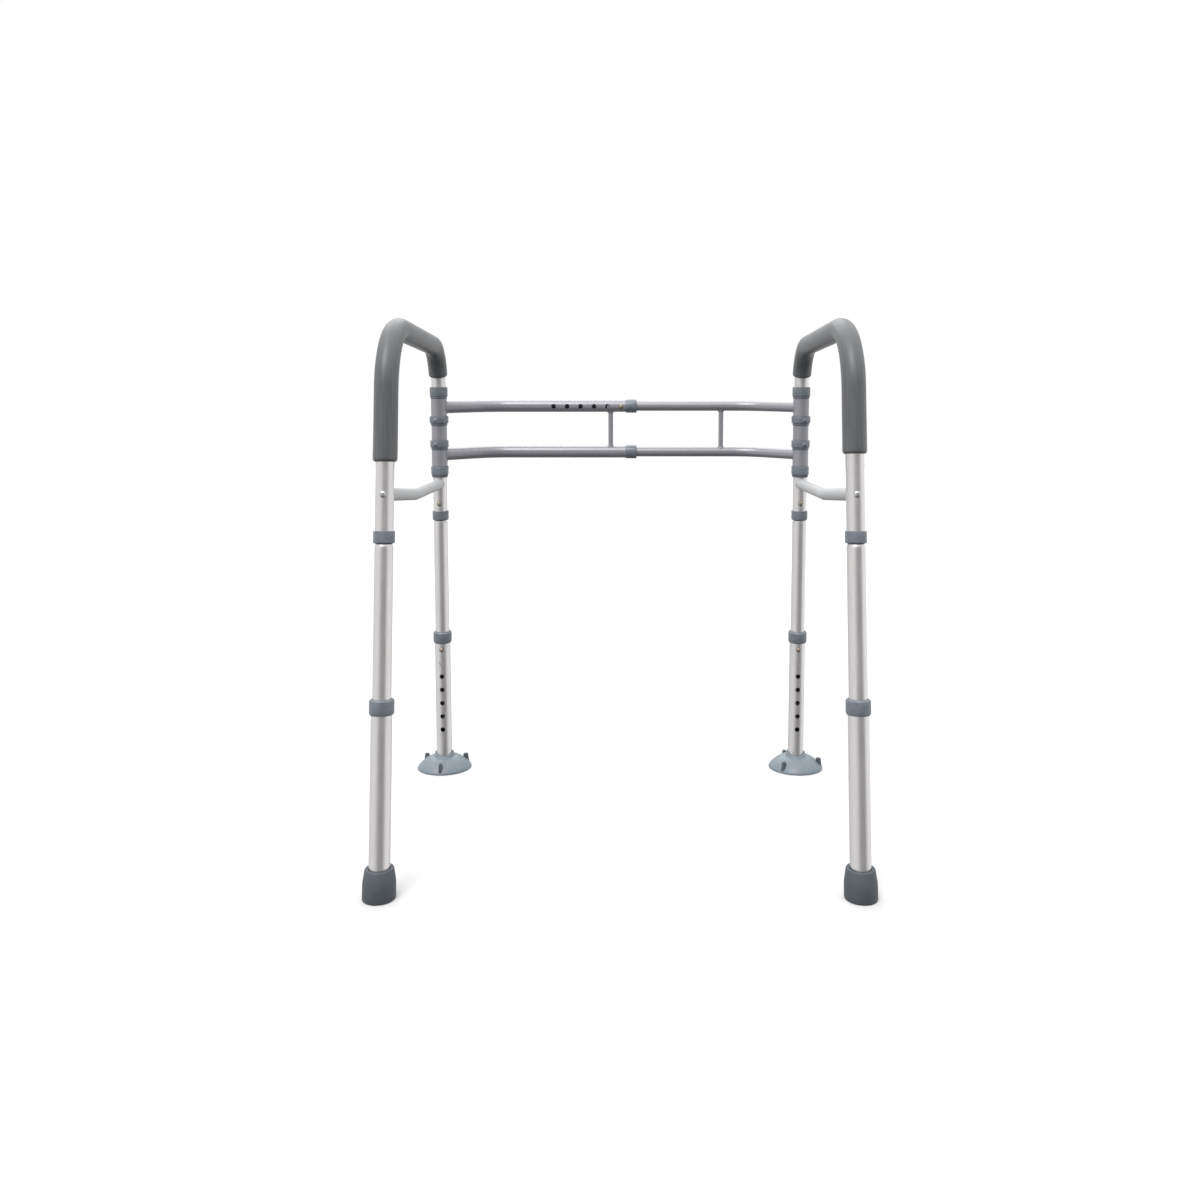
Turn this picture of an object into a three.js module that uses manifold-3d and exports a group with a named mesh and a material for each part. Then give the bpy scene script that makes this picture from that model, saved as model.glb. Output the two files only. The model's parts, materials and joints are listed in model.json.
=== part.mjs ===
// Toilet safety frame: two folding side hoops with telescopic legs, joined behind by a telescopic
// ladder that sets the width. Millimetres, +Z up, X across, the user sits facing -Y.
import * as THREE from "three";
import { mergeVertices } from "three/addons/utils/BufferGeometryUtils.js";
import Module from "manifold-3d";

const wasm = await Module();
wasm.setup();

// ---------------------------------------------------------------- driving dimensions
const GAP = 0.3; // between pieces that touch
const SIDES = 12; // facets round a tube
const DEG = Math.PI / 180;

const POST_X = 332; // half the distance between the rear posts
const POST_Y = 255.7; // rear posts meet the floor here
const LEAN = 5; // degrees, rear posts lean forward going up
const TOE_IN = 1; // degrees, each hoop points slightly inwards
const FRONT_SPLAY = 9; // degrees between the front leg and the rear post
const FRONT_FOOT = { s: 537.3, t: 47 }; // front foot, forward of and up the rear post

const FRAME_TUBE = { outer: 12.7, inner: 11.2 }; // hoop, 25.4 mm tube
const MID_TUBE = { outer: 12.7, inner: 11.5 };
const SPIGOT = { outer: 10.8, inner: 9.6 }; // reduced end inside the hoop
const LOWER_TUBE = { outer: 14.3, inner: 13.1 };
const FRONT_BEND = { s: 415.5, t: 816.7, radius: 100 }; // corner where the straight runs meet
const REAR_BEND = { s: 0, t: 789, radius: 75 };
const BEND_STEPS = 6;
const HOOP_END = 476; // hoop tube ends here, up each leg

const GRIP = {
  outer: 16.75,
  inner: 13,
  frontEnd: { left: 585, right: 596 }, // up the front leg
  rearSteps: 5, // of the rear bend's steps, so it stops short of the post
};

const BRACE = {
  outer: 9.5,
  inner: 8,
  rearHeight: 540.1, // where its axis meets the post, up the post
  middle: { s: 239, t: 552.4 },
  frontHeight: 540.5, // where its axis meets the front leg, up the leg
  bend: 60,
  plugRear: 30, // solid ends, measured from the axis of the post or leg
  plugFront: 40,
};
const SADDLE = { radius: 7.2, thickness: 8 };
const BOLT = { shank: 2.4, hole: 2.9, head: 4.6, headHeight: 3.2, seat: 13.3, reach: 34 };

const LEG = {
  bottom: 10,
  top: 258,
  midBottom: 190,
  shoulder: 469.5,
  neck: 472.8,
  spigotTop: 524,
  topHole: 230.6,
  upperButton: 504.3,
};
const HOLE_PITCH = 25.4;
const LEG_HOLES = 7;
const HOLE_RADIUS = 4.4;
const STUD_RADIUS = 3.8;

const UPPER_COLLAR = { bottom: 473.4, top: 490, outer: 14.8 };
const LOWER_COLLAR = { bottom: 242, top: 263, outer: 16.95 };

const TIP = { height: 40, flare: 22, outer: 22.35, top: 19.3 };
const CUP = {
  rim: 50,
  neck: 18,
  height: 31,
  dome: 23,
  scoop: 22, // degrees, how the neck's rim drops towards the front
};
const CUP_TAB = {
  radial: 12.5,
  thick: 7,
  height: 19.5,
  reach: 49,
  bottom: 1.5,
  turn: { left: -90, right: -130 }, // degrees, where the first of the three stands
};
const FOOT_FLOOR = 8; // thickness of rubber under the tube

// Everything threaded on a rear post, as heights up the post.
const TURNING_BORE = 13.3; // bore of what the post turns in
const TOP_RAIL = 680.9;
const LOWER_RAIL = 593.9;
const SLEEVE_RADIUS = 14.25;
const TOP_SLEEVE = { bottom: 665.3, top: 697.7 };
const LOWER_SLEEVE = { bottom: 573.3, top: 603.6 };
const FIXED_SLEEVE = { bottom: 621.3, top: 648, outer: 13.9 };
const POST_COLLARS = [
  { name: "top", bottom: 698, lip: 701, top: 718.4, outer: 16.1, lipOuter: 15.2 },
  { name: "upper", bottom: 648.3, lip: 652, top: 665, outer: 17, lipOuter: 15, boss: 658 },
  { name: "lower", bottom: 603.9, lip: 607.4, top: 621, outer: 16.6, lipOuter: 14.9, boss: 613.5 },
  { name: "bottom", bottom: 552.7, lip: 555.5, top: 573, outer: 15.9, lipOuter: 14.7 },
];

const BOSS = { radius: 5, reach: 18.6, turn: 17 }; // lug on a collar, degrees outward from its front

const RAIL = {
  back: 62, // straight run lies this far behind the posts
  angle: 36, // degrees, how the rail leaves its sleeve
  bend: 100,
  steps: 4,
};
const OUTER_RAIL = { outer: 11.1, inner: 9.9, end: 27, strut: -17.6 };
const INNER_RAIL = { outer: 9, inner: 7.6, end: -40, strut: 191.6 };
const BUSH = { left: 10.4, right: 31.3, outer: 12.4 };
const STRUT = { radius: 4.5, flare: 6, flareHeight: 3 };
const RAIL_BUTTON = 1.9;
const RAIL_HOLES = 6;

// ---------------------------------------------------------------- finishes
const finish = (color, roughness, metalness) => ({ color, roughness, metalness });
const FINISH = {
  aluminium: finish(0xc8c8ca, 0.38, 0.9),
  greyPaint: finish(0x8a8a8e, 0.45, 0.2),
  bracePaint: finish(0xb4b8ba, 0.5, 0.3),
  collarPlastic: finish(0x5d646c, 0.5, 0),
  foam: finish(0x6a6c6e, 0.7, 0),
  tipRubber: finish(0x555c63, 0.75, 0),
  cupRubber: finish(0x8a959c, 0.55, 0),
  brass: finish(0xb89a5a, 0.35, 0.9),
  steel: finish(0xb0b2b4, 0.3, 0.9),
};

// ---------------------------------------------------------------- geometry helpers
function solid(geometry) {
  const bare = geometry.index ? geometry.toNonIndexed() : geometry.clone();
  bare.deleteAttribute("normal");
  bare.deleteAttribute("uv");
  const merged = mergeVertices(bare, 1e-4);
  return new wasm.Manifold(
    new wasm.Mesh({
      numProp: 3,
      vertProperties: merged.attributes.position.array,
      triVerts: new Uint32Array(merged.index.array),
    }),
  );
}

function geometryOf(manifold) {
  const mesh = manifold.getMesh();
  const geometry = new THREE.BufferGeometry();
  geometry.setAttribute("position", new THREE.BufferAttribute(mesh.vertProperties, 3));
  geometry.setIndex(new THREE.BufferAttribute(mesh.triVerts, 1));
  return geometry;
}

function join(...geometries) {
  return geometryOf(geometries.map(solid).reduce((sum, next) => sum.add(next)));
}

function cut(geometry, ...cutters) {
  return geometryOf(cutters.map(solid).reduce((rest, next) => rest.subtract(next), solid(geometry)));
}

function common(first, second) {
  return geometryOf(solid(first).intersect(solid(second)));
}

// A body of revolution about Z; profile points are [radius, height], counter-clockwise.
function turned(profile, sides = SIDES) {
  const points = profile.map(([radius, height]) => new THREE.Vector2(radius, height));
  points.push(points[0].clone());
  return new THREE.LatheGeometry(points, sides).rotateX(90 * DEG);
}

function rod(radius, bottom, top, sides = SIDES) {
  const height = top - bottom;
  const geometry = new THREE.CylinderGeometry(radius, radius, height, sides);
  return geometry.rotateX(90 * DEG).translate(0, 0, bottom + height / 2);
}

function pipe(outer, inner, bottom, top) {
  return turned([[inner, bottom], [outer, bottom], [outer, top], [inner, top]]);
}

// Lays a geometry made along Z from one point towards another.
function along(geometry, from, to) {
  const direction = to.clone().sub(from).normalize();
  const turn = new THREE.Quaternion().setFromUnitVectors(new THREE.Vector3(0, 0, 1), direction);
  return geometry.applyQuaternion(turn).translate(from.x, from.y, from.z);
}

// A route of straight runs and bends. Each piece has its own number of steps, so that a swept
// tube has one section at each end of a straight run and several round a bend.
class Route extends THREE.Curve {
  constructor(pieces) {
    super();
    this.pieces = pieces;
    this.steps = pieces.reduce((sum, piece) => sum + piece.steps, 0);
  }

  locate(t) {
    let step = t * this.steps;
    const last = this.pieces[this.pieces.length - 1];
    for (const piece of this.pieces) {
      if (step <= piece.steps || piece === last) return { piece, part: step / piece.steps };
      step -= piece.steps;
    }
  }

  getPoint(t) {
    const { piece, part } = this.locate(t);
    return piece.point(Math.min(part, 1));
  }

  getTangent(t) {
    const { piece, part } = this.locate(t);
    return piece.tangent(Math.min(part, 1));
  }

  getUtoTmapping(u) {
    return u;
  }
}

function straight(from, to) {
  const direction = to.clone().sub(from).normalize();
  return {
    steps: 1,
    point: (part) => from.clone().lerp(to, part),
    tangent: () => direction.clone(),
  };
}

// A bend of one radius between two directions, starting at a point.
function bend(from, into, outOf, radius, steps, share = 1) {
  const angle = into.angleTo(outOf);
  const side = outOf.clone().addScaledVector(into, -outOf.dot(into)).normalize();
  const centre = from.clone().addScaledVector(side, radius);
  const at = (part) => angle * share * part;
  return {
    steps,
    point: (part) =>
      centre
        .clone()
        .addScaledVector(side, -radius * Math.cos(at(part)))
        .addScaledVector(into, radius * Math.sin(at(part))),
    tangent: (part) =>
      into
        .clone()
        .multiplyScalar(Math.cos(at(part)))
        .addScaledVector(side, Math.sin(at(part))),
  };
}

// Straight runs through the corners, with a bend of the given radius at each inner corner.
function filleted(corners, radii, steps) {
  const pieces = [];
  let from = corners[0];
  corners.slice(1, -1).forEach((corner, i) => {
    const into = corner.clone().sub(corners[i]).normalize();
    const outOf = corners[i + 2].clone().sub(corner).normalize();
    const setback = radii[i] * Math.tan(into.angleTo(outOf) / 2);
    const start = corner.clone().addScaledVector(into, -setback);
    pieces.push(straight(from, start), bend(start, into, outOf, radii[i], steps));
    from = corner.clone().addScaledVector(outOf, setback);
  });
  pieces.push(straight(from, corners[corners.length - 1]));
  return pieces;
}

function circle(radius, sides = SIDES) {
  const point = (i) => {
    const angle = (i * 2 * Math.PI) / sides;
    return new THREE.Vector2(radius * Math.cos(angle), radius * Math.sin(angle));
  };
  return Array.from({ length: sides }, (_, i) => point(i));
}

function swept(pieces, outer, inner = 0) {
  const section = new THREE.Shape(circle(outer));
  if (inner) section.holes.push(new THREE.Path(circle(inner)));
  const extrudePath = new Route(pieces);
  return new THREE.ExtrudeGeometry(section, { extrudePath, steps: extrudePath.steps });
}

const group = new THREE.Group();

function mesh(parent, name, geometry, look) {
  const part = new THREE.Mesh(geometry, new THREE.MeshStandardMaterial(look));
  part.name = name;
  parent.add(part);
  return part;
}

// ---------------------------------------------------------------- frames of reference
const back = new THREE.Group(); // Z runs up the rear posts
back.position.y = POST_Y;
back.rotation.x = LEAN * DEG;
group.add(back);

// In a hoop's own plane a point is given by s, forward of the rear post, and t, up it.
const inHoop = ({ s, t }) => new THREE.Vector3(0, -s, t);

function legFrame(hoop, isFront) {
  const leg = new THREE.Group(); // Z runs up the leg from the floor
  if (isFront) {
    leg.position.copy(inHoop(FRONT_FOOT));
    leg.rotation.x = -FRONT_SPLAY * DEG;
  }
  hoop.add(leg);
  return leg;
}

const frontLegPoint = (up) => ({
  s: FRONT_FOOT.s - up * Math.sin(FRONT_SPLAY * DEG),
  t: FRONT_FOOT.t + up * Math.cos(FRONT_SPLAY * DEG),
});

// ---------------------------------------------------------------- hoop, grip and brace
// Moves a geometry made on the front leg's own axis into the hoop's plane.
function onFrontLeg(geometry) {
  const foot = inHoop(FRONT_FOOT);
  return geometry.rotateX(-FRONT_SPLAY * DEG).translate(foot.x, foot.y, foot.z);
}

// A radial cutter for a spring button's hole: angle 0 faces forward, PI faces backward.
function buttonHole(height, facing = 0, reach = 20) {
  return rod(HOLE_RADIUS, 5, reach, 8).rotateX(90 * DEG).rotateZ(facing).translate(0, 0, height);
}

// A round cutter on a leg's axis, long enough to cope the ends of the brace.
function roundCutter(radius) {
  return rod(radius, BRACE.rearHeight - 100, BRACE.rearHeight + 100);
}

function hoopCorners() {
  return [frontLegPoint(HOOP_END), FRONT_BEND, REAR_BEND, { s: 0, t: HOOP_END }].map(inHoop);
}

// Points on the brace's axis, by distance from the axis of the post or the front leg.
function braceAxis(end) {
  const rear = { s: 0, t: BRACE.rearHeight };
  const at = inHoop(end === "rear" ? rear : frontLegPoint(BRACE.frontHeight));
  const into = inHoop(BRACE.middle).sub(at).normalize();
  return (distance) => at.clone().addScaledVector(into, distance);
}

function boltHole(end) {
  const point = braceAxis(end);
  const beyond = 2 * FRAME_TUBE.outer;
  return along(rod(BOLT.hole, -beyond, BOLT.reach + beyond, 10), point(0), point(1));
}

function hoopTube() {
  const bends = [FRONT_BEND.radius, REAR_BEND.radius];
  const route = filleted(hoopCorners(), bends, BEND_STEPS);
  return cut(
    swept(route, FRAME_TUBE.outer, FRAME_TUBE.inner),
    buttonHole(LEG.upperButton),
    onFrontLeg(buttonHole(LEG.upperButton, Math.PI)),
    boltHole("rear"),
    boltHole("front"),
  );
}

function gripFoam(frontEnd) {
  const corners = hoopCorners();
  corners[0] = inHoop(frontLegPoint(frontEnd));
  const [leg, corner, top] = filleted(corners, [FRONT_BEND.radius, REAR_BEND.radius], BEND_STEPS);
  const into = top.tangent(0);
  const down = new THREE.Vector3(0, 0, -1);
  const share = GRIP.rearSteps / BEND_STEPS;
  const end = bend(top.point(1), into, down, REAR_BEND.radius, GRIP.rearSteps, share);
  return swept([leg, corner, top, end], GRIP.outer, GRIP.inner);
}

function braceTube() {
  const [rear, front] = [braceAxis("rear"), braceAxis("front")];
  const middle = inHoop(BRACE.middle);
  const line = (from, to) => filleted([rear(from), middle, front(to)], [BRACE.bend], 2);
  const bar = swept(line(4, 6), BRACE.outer);
  const hollow = swept(line(BRACE.plugRear, BRACE.plugFront), BRACE.inner);
  const post = roundCutter(FRAME_TUBE.outer + GAP);
  const leg = onFrontLeg(roundCutter(FRAME_TUBE.outer + SADDLE.thickness + 2 * GAP));
  return cut(bar, post, leg, hollow, boltHole("rear"), boltHole("front"));
}

function saddlePad() {
  const point = braceAxis("front");
  const disc = along(rod(SADDLE.radius, 2, 3 * FRAME_TUBE.outer), point(0), point(1));
  const inside = onFrontLeg(roundCutter(FRAME_TUBE.outer + GAP));
  const outside = onFrontLeg(roundCutter(FRAME_TUBE.outer + GAP + SADDLE.thickness));
  return cut(common(disc, outside), inside, boltHole("front"));
}

// Domed head outside the tube and a shank that reaches into the plugged end of the brace.
function braceBolt(end) {
  const { head, headHeight, seat, shank, reach } = BOLT;
  const outline = [
    [0, -seat - headHeight],
    [head * 0.5, -seat - headHeight],
    [head * 0.88, -seat - headHeight * 0.6],
    [head, -seat],
    [shank, -seat],
    [shank, reach],
    [0, reach],
  ];
  const point = braceAxis(end);
  return along(turned(outline, 12), point(0), point(1));
}

// ---------------------------------------------------------------- legs
function midLeg(facing) {
  const { outer, inner } = MID_TUBE;
  const wall = 1; // the taper is inside as well as outside
  const tube = turned([
    [inner, LEG.midBottom],
    [outer, LEG.midBottom],
    [outer, LEG.shoulder],
    [SPIGOT.outer, LEG.neck],
    [SPIGOT.outer, LEG.spigotTop],
    [SPIGOT.inner, LEG.spigotTop],
    [SPIGOT.inner, LEG.neck - wall],
    [inner, LEG.shoulder - wall],
  ]);
  return cut(tube, buttonHole(LEG.topHole, facing), buttonHole(LEG.upperButton, facing));
}

function lowerLeg(facing) {
  const tube = pipe(LOWER_TUBE.outer, LOWER_TUBE.inner, LEG.bottom, LEG.top);
  const hole = (_, i) => buttonHole(LEG.topHole - i * HOLE_PITCH, facing);
  return cut(tube, ...Array.from({ length: LEG_HOLES }, hole));
}

function upperCollar() {
  const { bottom, top, outer } = UPPER_COLLAR;
  const inner = FRAME_TUBE.outer + GAP;
  return turned([
    [inner, bottom],
    [outer - 0.8, bottom],
    [outer, bottom + 1.6],
    [outer, top],
    [inner, top],
  ]);
}

// Cap on the lower tube's mouth, with a rim that guides the tube inside.
function lowerCollar() {
  const { bottom, top, outer } = LOWER_COLLAR;
  const inner = LOWER_TUBE.outer + GAP;
  const guide = LOWER_TUBE.inner;
  return turned([
    [inner, bottom],
    [outer - 1.2, bottom],
    [outer, bottom + 2.4],
    [outer, top],
    [guide, top],
    [guide, LEG.top + GAP],
    [inner, LEG.top + GAP],
  ]);
}

// A round stud on a V-shaped leaf spring that sits inside the tube. The stud points forward and
// the V folds down the tube; armReach and farReach are how far from the axis its arms stand.
function springButton(tip, armReach, farReach, width) {
  const fold = -34;
  const sheet = 1;
  const outline = [
    [armReach, 7],
    [armReach, -5],
    [sheet, fold],
    [-sheet, fold],
    [-farReach, -13],
    [-farReach + sheet, -12.6],
    [0, fold + 3],
    [armReach - sheet, -5.2],
    [armReach - sheet, 7],
  ].map(([radius, height]) => new THREE.Vector2(radius, height));
  const leaf = new THREE.ExtrudeGeometry(new THREE.Shape(outline), {
    depth: width,
    bevelEnabled: false,
  });
  leaf.translate(0, 0, -width / 2).rotateX(90 * DEG).rotateZ(-90 * DEG);
  const dome = 0.8;
  const stud = turned([
    [0, armReach - sheet / 2],
    [STUD_RADIUS, armReach - sheet / 2],
    [STUD_RADIUS, tip - dome],
    [STUD_RADIUS * 0.55, tip],
    [0, tip],
  ], 10);
  return join(leaf, stud.rotateX(90 * DEG));
}

const lowerButton = () => springButton(LOWER_TUBE.outer + 2.2, 10.5, 6.5, 6);
const upperButton = () => springButton(FRAME_TUBE.outer + 2.1, 8.6, 4.6, 6);
const railButton = () => springButton(OUTER_RAIL.outer + 2, 6.6, 3.2, 5);

// ---------------------------------------------------------------- feet
// Leans a foot with its leg while its sole stays flat on the floor.
function leanWith(geometry, leg) {
  const up = new THREE.Vector3(0, 0, 1).transformDirection(leg.matrixWorld);
  const shear = new THREE.Matrix4().makeShear(0, 0, 0, 0, up.x / up.z, up.y / up.z);
  return geometry.applyMatrix4(shear);
}

function rubberTip() {
  const bore = LOWER_TUBE.outer + GAP + 0.2;
  const { height, flare, outer, top } = TIP;
  return turned([
    [0, 0],
    [outer - 2, 0],
    [outer, 2],
    [outer, flare],
    [top, height],
    [bore + 1.8, height],
    [bore, height - 3.5],
    [bore, FOOT_FLOOR],
    [0, FOOT_FLOOR],
  ]);
}

function suctionCup(turn) {
  const bore = LOWER_TUBE.outer + GAP + 0.2;
  const { rim, neck, height, dome, scoop } = CUP;
  const { radial, thick, height: tabHeight, reach, bottom } = CUP_TAB;
  const sides = 20;
  const cup = turned([
    [0, 3.5],
    [30, 2.5],
    [rim - 6, 0],
    [rim, 0],
    [rim, 2.2],
    [rim - 4, 7],
    [rim * 0.76, 14.5],
    [rim * 0.55, 20],
    [neck + 1.5, dome],
    [neck, dome + 1.5],
    [neck, height],
    [bore + 1.2, height],
    [bore, height - 3],
    [bore, FOOT_FLOOR],
    [0, FOOT_FLOOR],
  ], sides);
  const tabAt = (i) => {
    const block = new THREE.BoxGeometry(radial, thick, tabHeight);
    block.translate(reach - radial / 2, 0, bottom + tabHeight / 2);
    return block.rotateZ((turn + i * 120) * DEG);
  };
  const trim = new THREE.BoxGeometry(4 * neck, 2 * neck, 2 * height);
  trim.translate(0, -neck, height).rotateX(scoop * DEG).translate(0, 0, height);
  return join(cut(cup, trim), tabAt(0), tabAt(1), tabAt(2));
}

// ---------------------------------------------------------------- ladder
// A rail's route from a distance along it, out of its sleeve on the post and across the back.
function railRoute(side, height, start, end) {
  const slope = new THREE.Vector3(-side * Math.cos(RAIL.angle * DEG), Math.sin(RAIL.angle * DEG), 0);
  const post = new THREE.Vector3(side * POST_X, 0, height);
  const corner = post.clone().addScaledVector(slope, RAIL.back / slope.y);
  const last = new THREE.Vector3(end, RAIL.back, height);
  return filleted([post.addScaledVector(slope, start), corner, last], [RAIL.bend], RAIL.steps);
}

function strutRod(x, railRadius) {
  const { radius, flare, flareHeight } = STRUT;
  const [bottom, top] = [LOWER_RAIL + railRadius - 2, TOP_RAIL - railRadius + 2];
  const weld = 2 + flareHeight;
  return turned([
    [0, bottom],
    [flare, bottom],
    [flare, bottom + 2],
    [radius, bottom + weld],
    [radius, top - weld],
    [flare, top - 2],
    [flare, top],
    [0, top],
  ], 12).translate(x, RAIL.back, 0);
}

function ladder(side, rail, holeCount) {
  const heights = [TOP_RAIL, LOWER_RAIL];
  const sleeves = [TOP_SLEEVE, LOWER_SLEEVE];
  const onPost = (geometry) => geometry.translate(side * POST_X, 0, 0);
  const body = join(
    ...heights.map((height) => swept(railRoute(side, height, 6, rail.end), rail.outer)),
    ...sleeves.map(({ bottom, top }) => onPost(rod(SLEEVE_RADIUS, bottom, top))),
    strutRod(rail.strut, rail.outer),
  );
  const beyond = rail.end - side * 2;
  const clearOfSleeve = SLEEVE_RADIUS + 1.5;
  const bores = heights.map((height) => {
    return swept(railRoute(side, height, clearOfSleeve, beyond), rail.inner);
  });
  const holes = Array.from({ length: holeCount }, (_, i) => {
    return buttonHole(TOP_RAIL).translate(RAIL_BUTTON - i * HOLE_PITCH, RAIL.back, 0);
  });
  const postBore = onPost(rod(TURNING_BORE, LOWER_SLEEVE.bottom - 5, TOP_SLEEVE.top + 5));
  const lip = POST_COLLARS[2].lipOuter + GAP; // the lower rail is notched round the collar above it
  const notch = onPost(rod(lip, LOWER_SLEEVE.top, POST_COLLARS[2].lip));
  return cut(body, ...bores, ...holes, postBore, notch);
}

function railBush() {
  const { left, right, outer } = BUSH;
  const inner = OUTER_RAIL.outer + GAP;
  const guide = INNER_RAIL.outer + GAP;
  const step = OUTER_RAIL.end + GAP;
  const bush = turned([
    [inner, left],
    [inner + 0.5, left],
    [outer, left + 3],
    [outer, right],
    [guide, right],
    [guide, step],
    [inner, step],
  ]);
  return along(bush, new THREE.Vector3(), new THREE.Vector3(1, 0, 0));
}

function postCollar({ bottom, lip, top, outer, lipOuter, boss }, side) {
  const ring = turned([
    [TURNING_BORE, bottom],
    [lipOuter, bottom],
    [lipOuter, lip],
    [outer, lip],
    [outer, top - 1],
    [outer - 0.6, top],
    [TURNING_BORE, top],
  ]);
  if (!boss) return ring;
  const turn = BOSS.turn * DEG;
  const out = new THREE.Vector3(side * Math.sin(turn), -Math.cos(turn), 0);
  const from = new THREE.Vector3(0, 0, boss);
  const lug = along(rod(BOSS.radius, lipOuter - 0.5, BOSS.reach, 10), from, from.clone().add(out));
  return join(ring, lug);
}

// ---------------------------------------------------------------- assembly
function addLeg(hoop, name, isFront) {
  const leg = legFrame(hoop, isFront);
  const facing = isFront ? Math.PI : 0;
  mesh(leg, `${name}_mid_leg`, midLeg(facing), FINISH.aluminium);
  mesh(leg, `${name}_lower_leg`, lowerLeg(facing), FINISH.aluminium);
  mesh(leg, `${name}_upper_collar`, upperCollar(), FINISH.collarPlastic);
  mesh(leg, `${name}_lower_collar`, lowerCollar(), FINISH.collarPlastic);
  const upper = mesh(leg, `${name}_upper_button`, upperButton(), FINISH.brass);
  const lower = mesh(leg, `${name}_height_button`, lowerButton(), FINISH.brass);
  upper.position.z = LEG.upperButton;
  lower.position.z = LEG.topHole;
  upper.rotation.z = facing;
  lower.rotation.z = facing;
  return leg;
}

function addFoot(leg, name, geometry, look) {
  group.updateMatrixWorld(true);
  const foot = mesh(group, name, leanWith(geometry, leg), look);
  leg.getWorldPosition(foot.position);
  foot.position.z = 0;
}

function addHoop(side, name) {
  const hoop = new THREE.Group();
  hoop.position.x = side * POST_X;
  hoop.rotation.z = -side * TOE_IN * DEG;
  back.add(hoop);
  mesh(hoop, `${name}_hoop_tube`, hoopTube(), FINISH.aluminium);
  mesh(hoop, `${name}_grip`, gripFoam(GRIP.frontEnd[name]), FINISH.foam);
  mesh(hoop, `${name}_brace`, braceTube(), FINISH.bracePaint);
  mesh(hoop, `${name}_brace_saddle`, saddlePad(), FINISH.collarPlastic);
  mesh(hoop, `${name}_brace_front_bolt`, braceBolt("front"), FINISH.steel);
  mesh(hoop, `${name}_brace_rear_bolt`, braceBolt("rear"), FINISH.steel);
  const { outer, bottom, top } = FIXED_SLEEVE;
  const sleeve = pipe(outer, FRAME_TUBE.outer + GAP, bottom, top);
  mesh(hoop, `${name}_post_sleeve`, sleeve, FINISH.greyPaint);
  const front = addLeg(hoop, `${name}_front`, true);
  const rear = addLeg(hoop, `${name}_rear`, false);
  addFoot(front, `${name}_rubber_tip`, rubberTip(), FINISH.tipRubber);
  addFoot(rear, `${name}_suction_cup`, suctionCup(CUP_TAB.turn[name]), FINISH.cupRubber);
}

function addLadder() {
  mesh(back, "outer_ladder", ladder(-1, OUTER_RAIL, RAIL_HOLES), FINISH.greyPaint);
  mesh(back, "inner_ladder", ladder(1, INNER_RAIL, 1), FINISH.greyPaint);
  for (const [name, height] of [["upper", TOP_RAIL], ["lower", LOWER_RAIL]]) {
    const bush = mesh(back, `${name}_rail_bush`, railBush(), FINISH.collarPlastic);
    bush.position.set(0, RAIL.back, height);
  }
  const button = mesh(back, "rail_button", railButton().rotateY(90 * DEG), FINISH.brass);
  button.position.set(RAIL_BUTTON, RAIL.back, TOP_RAIL);
  for (const [side, name] of [[-1, "left"], [1, "right"]]) {
    for (const collar of POST_COLLARS) {
      const geometry = postCollar(collar, side);
      const ring = mesh(back, `${name}_${collar.name}_post_collar`, geometry, FINISH.collarPlastic);
      ring.position.x = side * POST_X;
    }
  }
}

addHoop(-1, "left");
addHoop(1, "right");
addLadder();

export default group;
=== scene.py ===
import json
import math

import bmesh
import bpy
from mathutils import Matrix, Vector, noise


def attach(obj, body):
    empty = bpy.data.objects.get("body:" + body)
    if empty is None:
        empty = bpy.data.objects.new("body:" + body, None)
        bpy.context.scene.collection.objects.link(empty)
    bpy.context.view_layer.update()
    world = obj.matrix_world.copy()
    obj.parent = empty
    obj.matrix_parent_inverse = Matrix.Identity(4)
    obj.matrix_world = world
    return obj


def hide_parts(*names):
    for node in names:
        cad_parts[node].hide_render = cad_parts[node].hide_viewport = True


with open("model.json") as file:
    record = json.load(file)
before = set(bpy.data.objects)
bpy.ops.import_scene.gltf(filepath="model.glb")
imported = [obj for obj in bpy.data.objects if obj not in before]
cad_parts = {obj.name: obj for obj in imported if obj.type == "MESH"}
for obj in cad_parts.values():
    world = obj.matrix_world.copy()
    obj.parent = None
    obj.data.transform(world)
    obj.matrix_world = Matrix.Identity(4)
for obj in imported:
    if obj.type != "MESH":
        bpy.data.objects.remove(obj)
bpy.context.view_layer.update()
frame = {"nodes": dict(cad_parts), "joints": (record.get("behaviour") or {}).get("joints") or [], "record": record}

mm = 0.001
snug = 0.05  # millimetres between pieces that touch
scene = bpy.context.scene
sides = {"left": -1, "right": 1}
print("frame loaded:", len(frame["nodes"]), "nodes")

# where things stand, from the frame's joints and mounts
joints = {joint["name"]: joint for joint in frame["joints"]}
mounts = {mount["name"]: mount for mount in frame["record"]["mounts"]}


def standAt(origin, back, up):
    # a frame in millimetres: X across, Y back, Z up the leg
    z = up.normalized()
    x = back.cross(z).normalized()
    y = z.cross(x)
    turn = Matrix((x, y, z)).transposed().to_4x4()
    return Matrix.Translation(origin) @ turn @ Matrix.Scale(mm, 4)


def postUp(side):
    return Vector(joints[side + "_fold"]["axis"]) * -sides[side]


def postFoot(side):
    return Vector(joints[side + "_fold"]["pos_m"])


def hoopBack(side):
    up = postUp(side)
    reach = postFoot(side) - Vector(mounts[side + "_front_foot"]["pos_m"])
    return (reach - up * reach.dot(up)).normalized()


def hoopFrame(side):
    return standAt(postFoot(side), hoopBack(side), postUp(side))


def legFrame(side, end):
    if end == "rear":
        return hoopFrame(side)
    foot = Vector(mounts[side + "_front_foot"]["pos_m"])
    return standAt(foot, hoopBack(side), Vector(joints[side + "_front_height"]["axis"]))


def ladderFrame():
    foot = postFoot("left")
    return standAt(Vector((0, foot.y, 0)), Vector((0, 1, 0)), postUp("left"))


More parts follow.
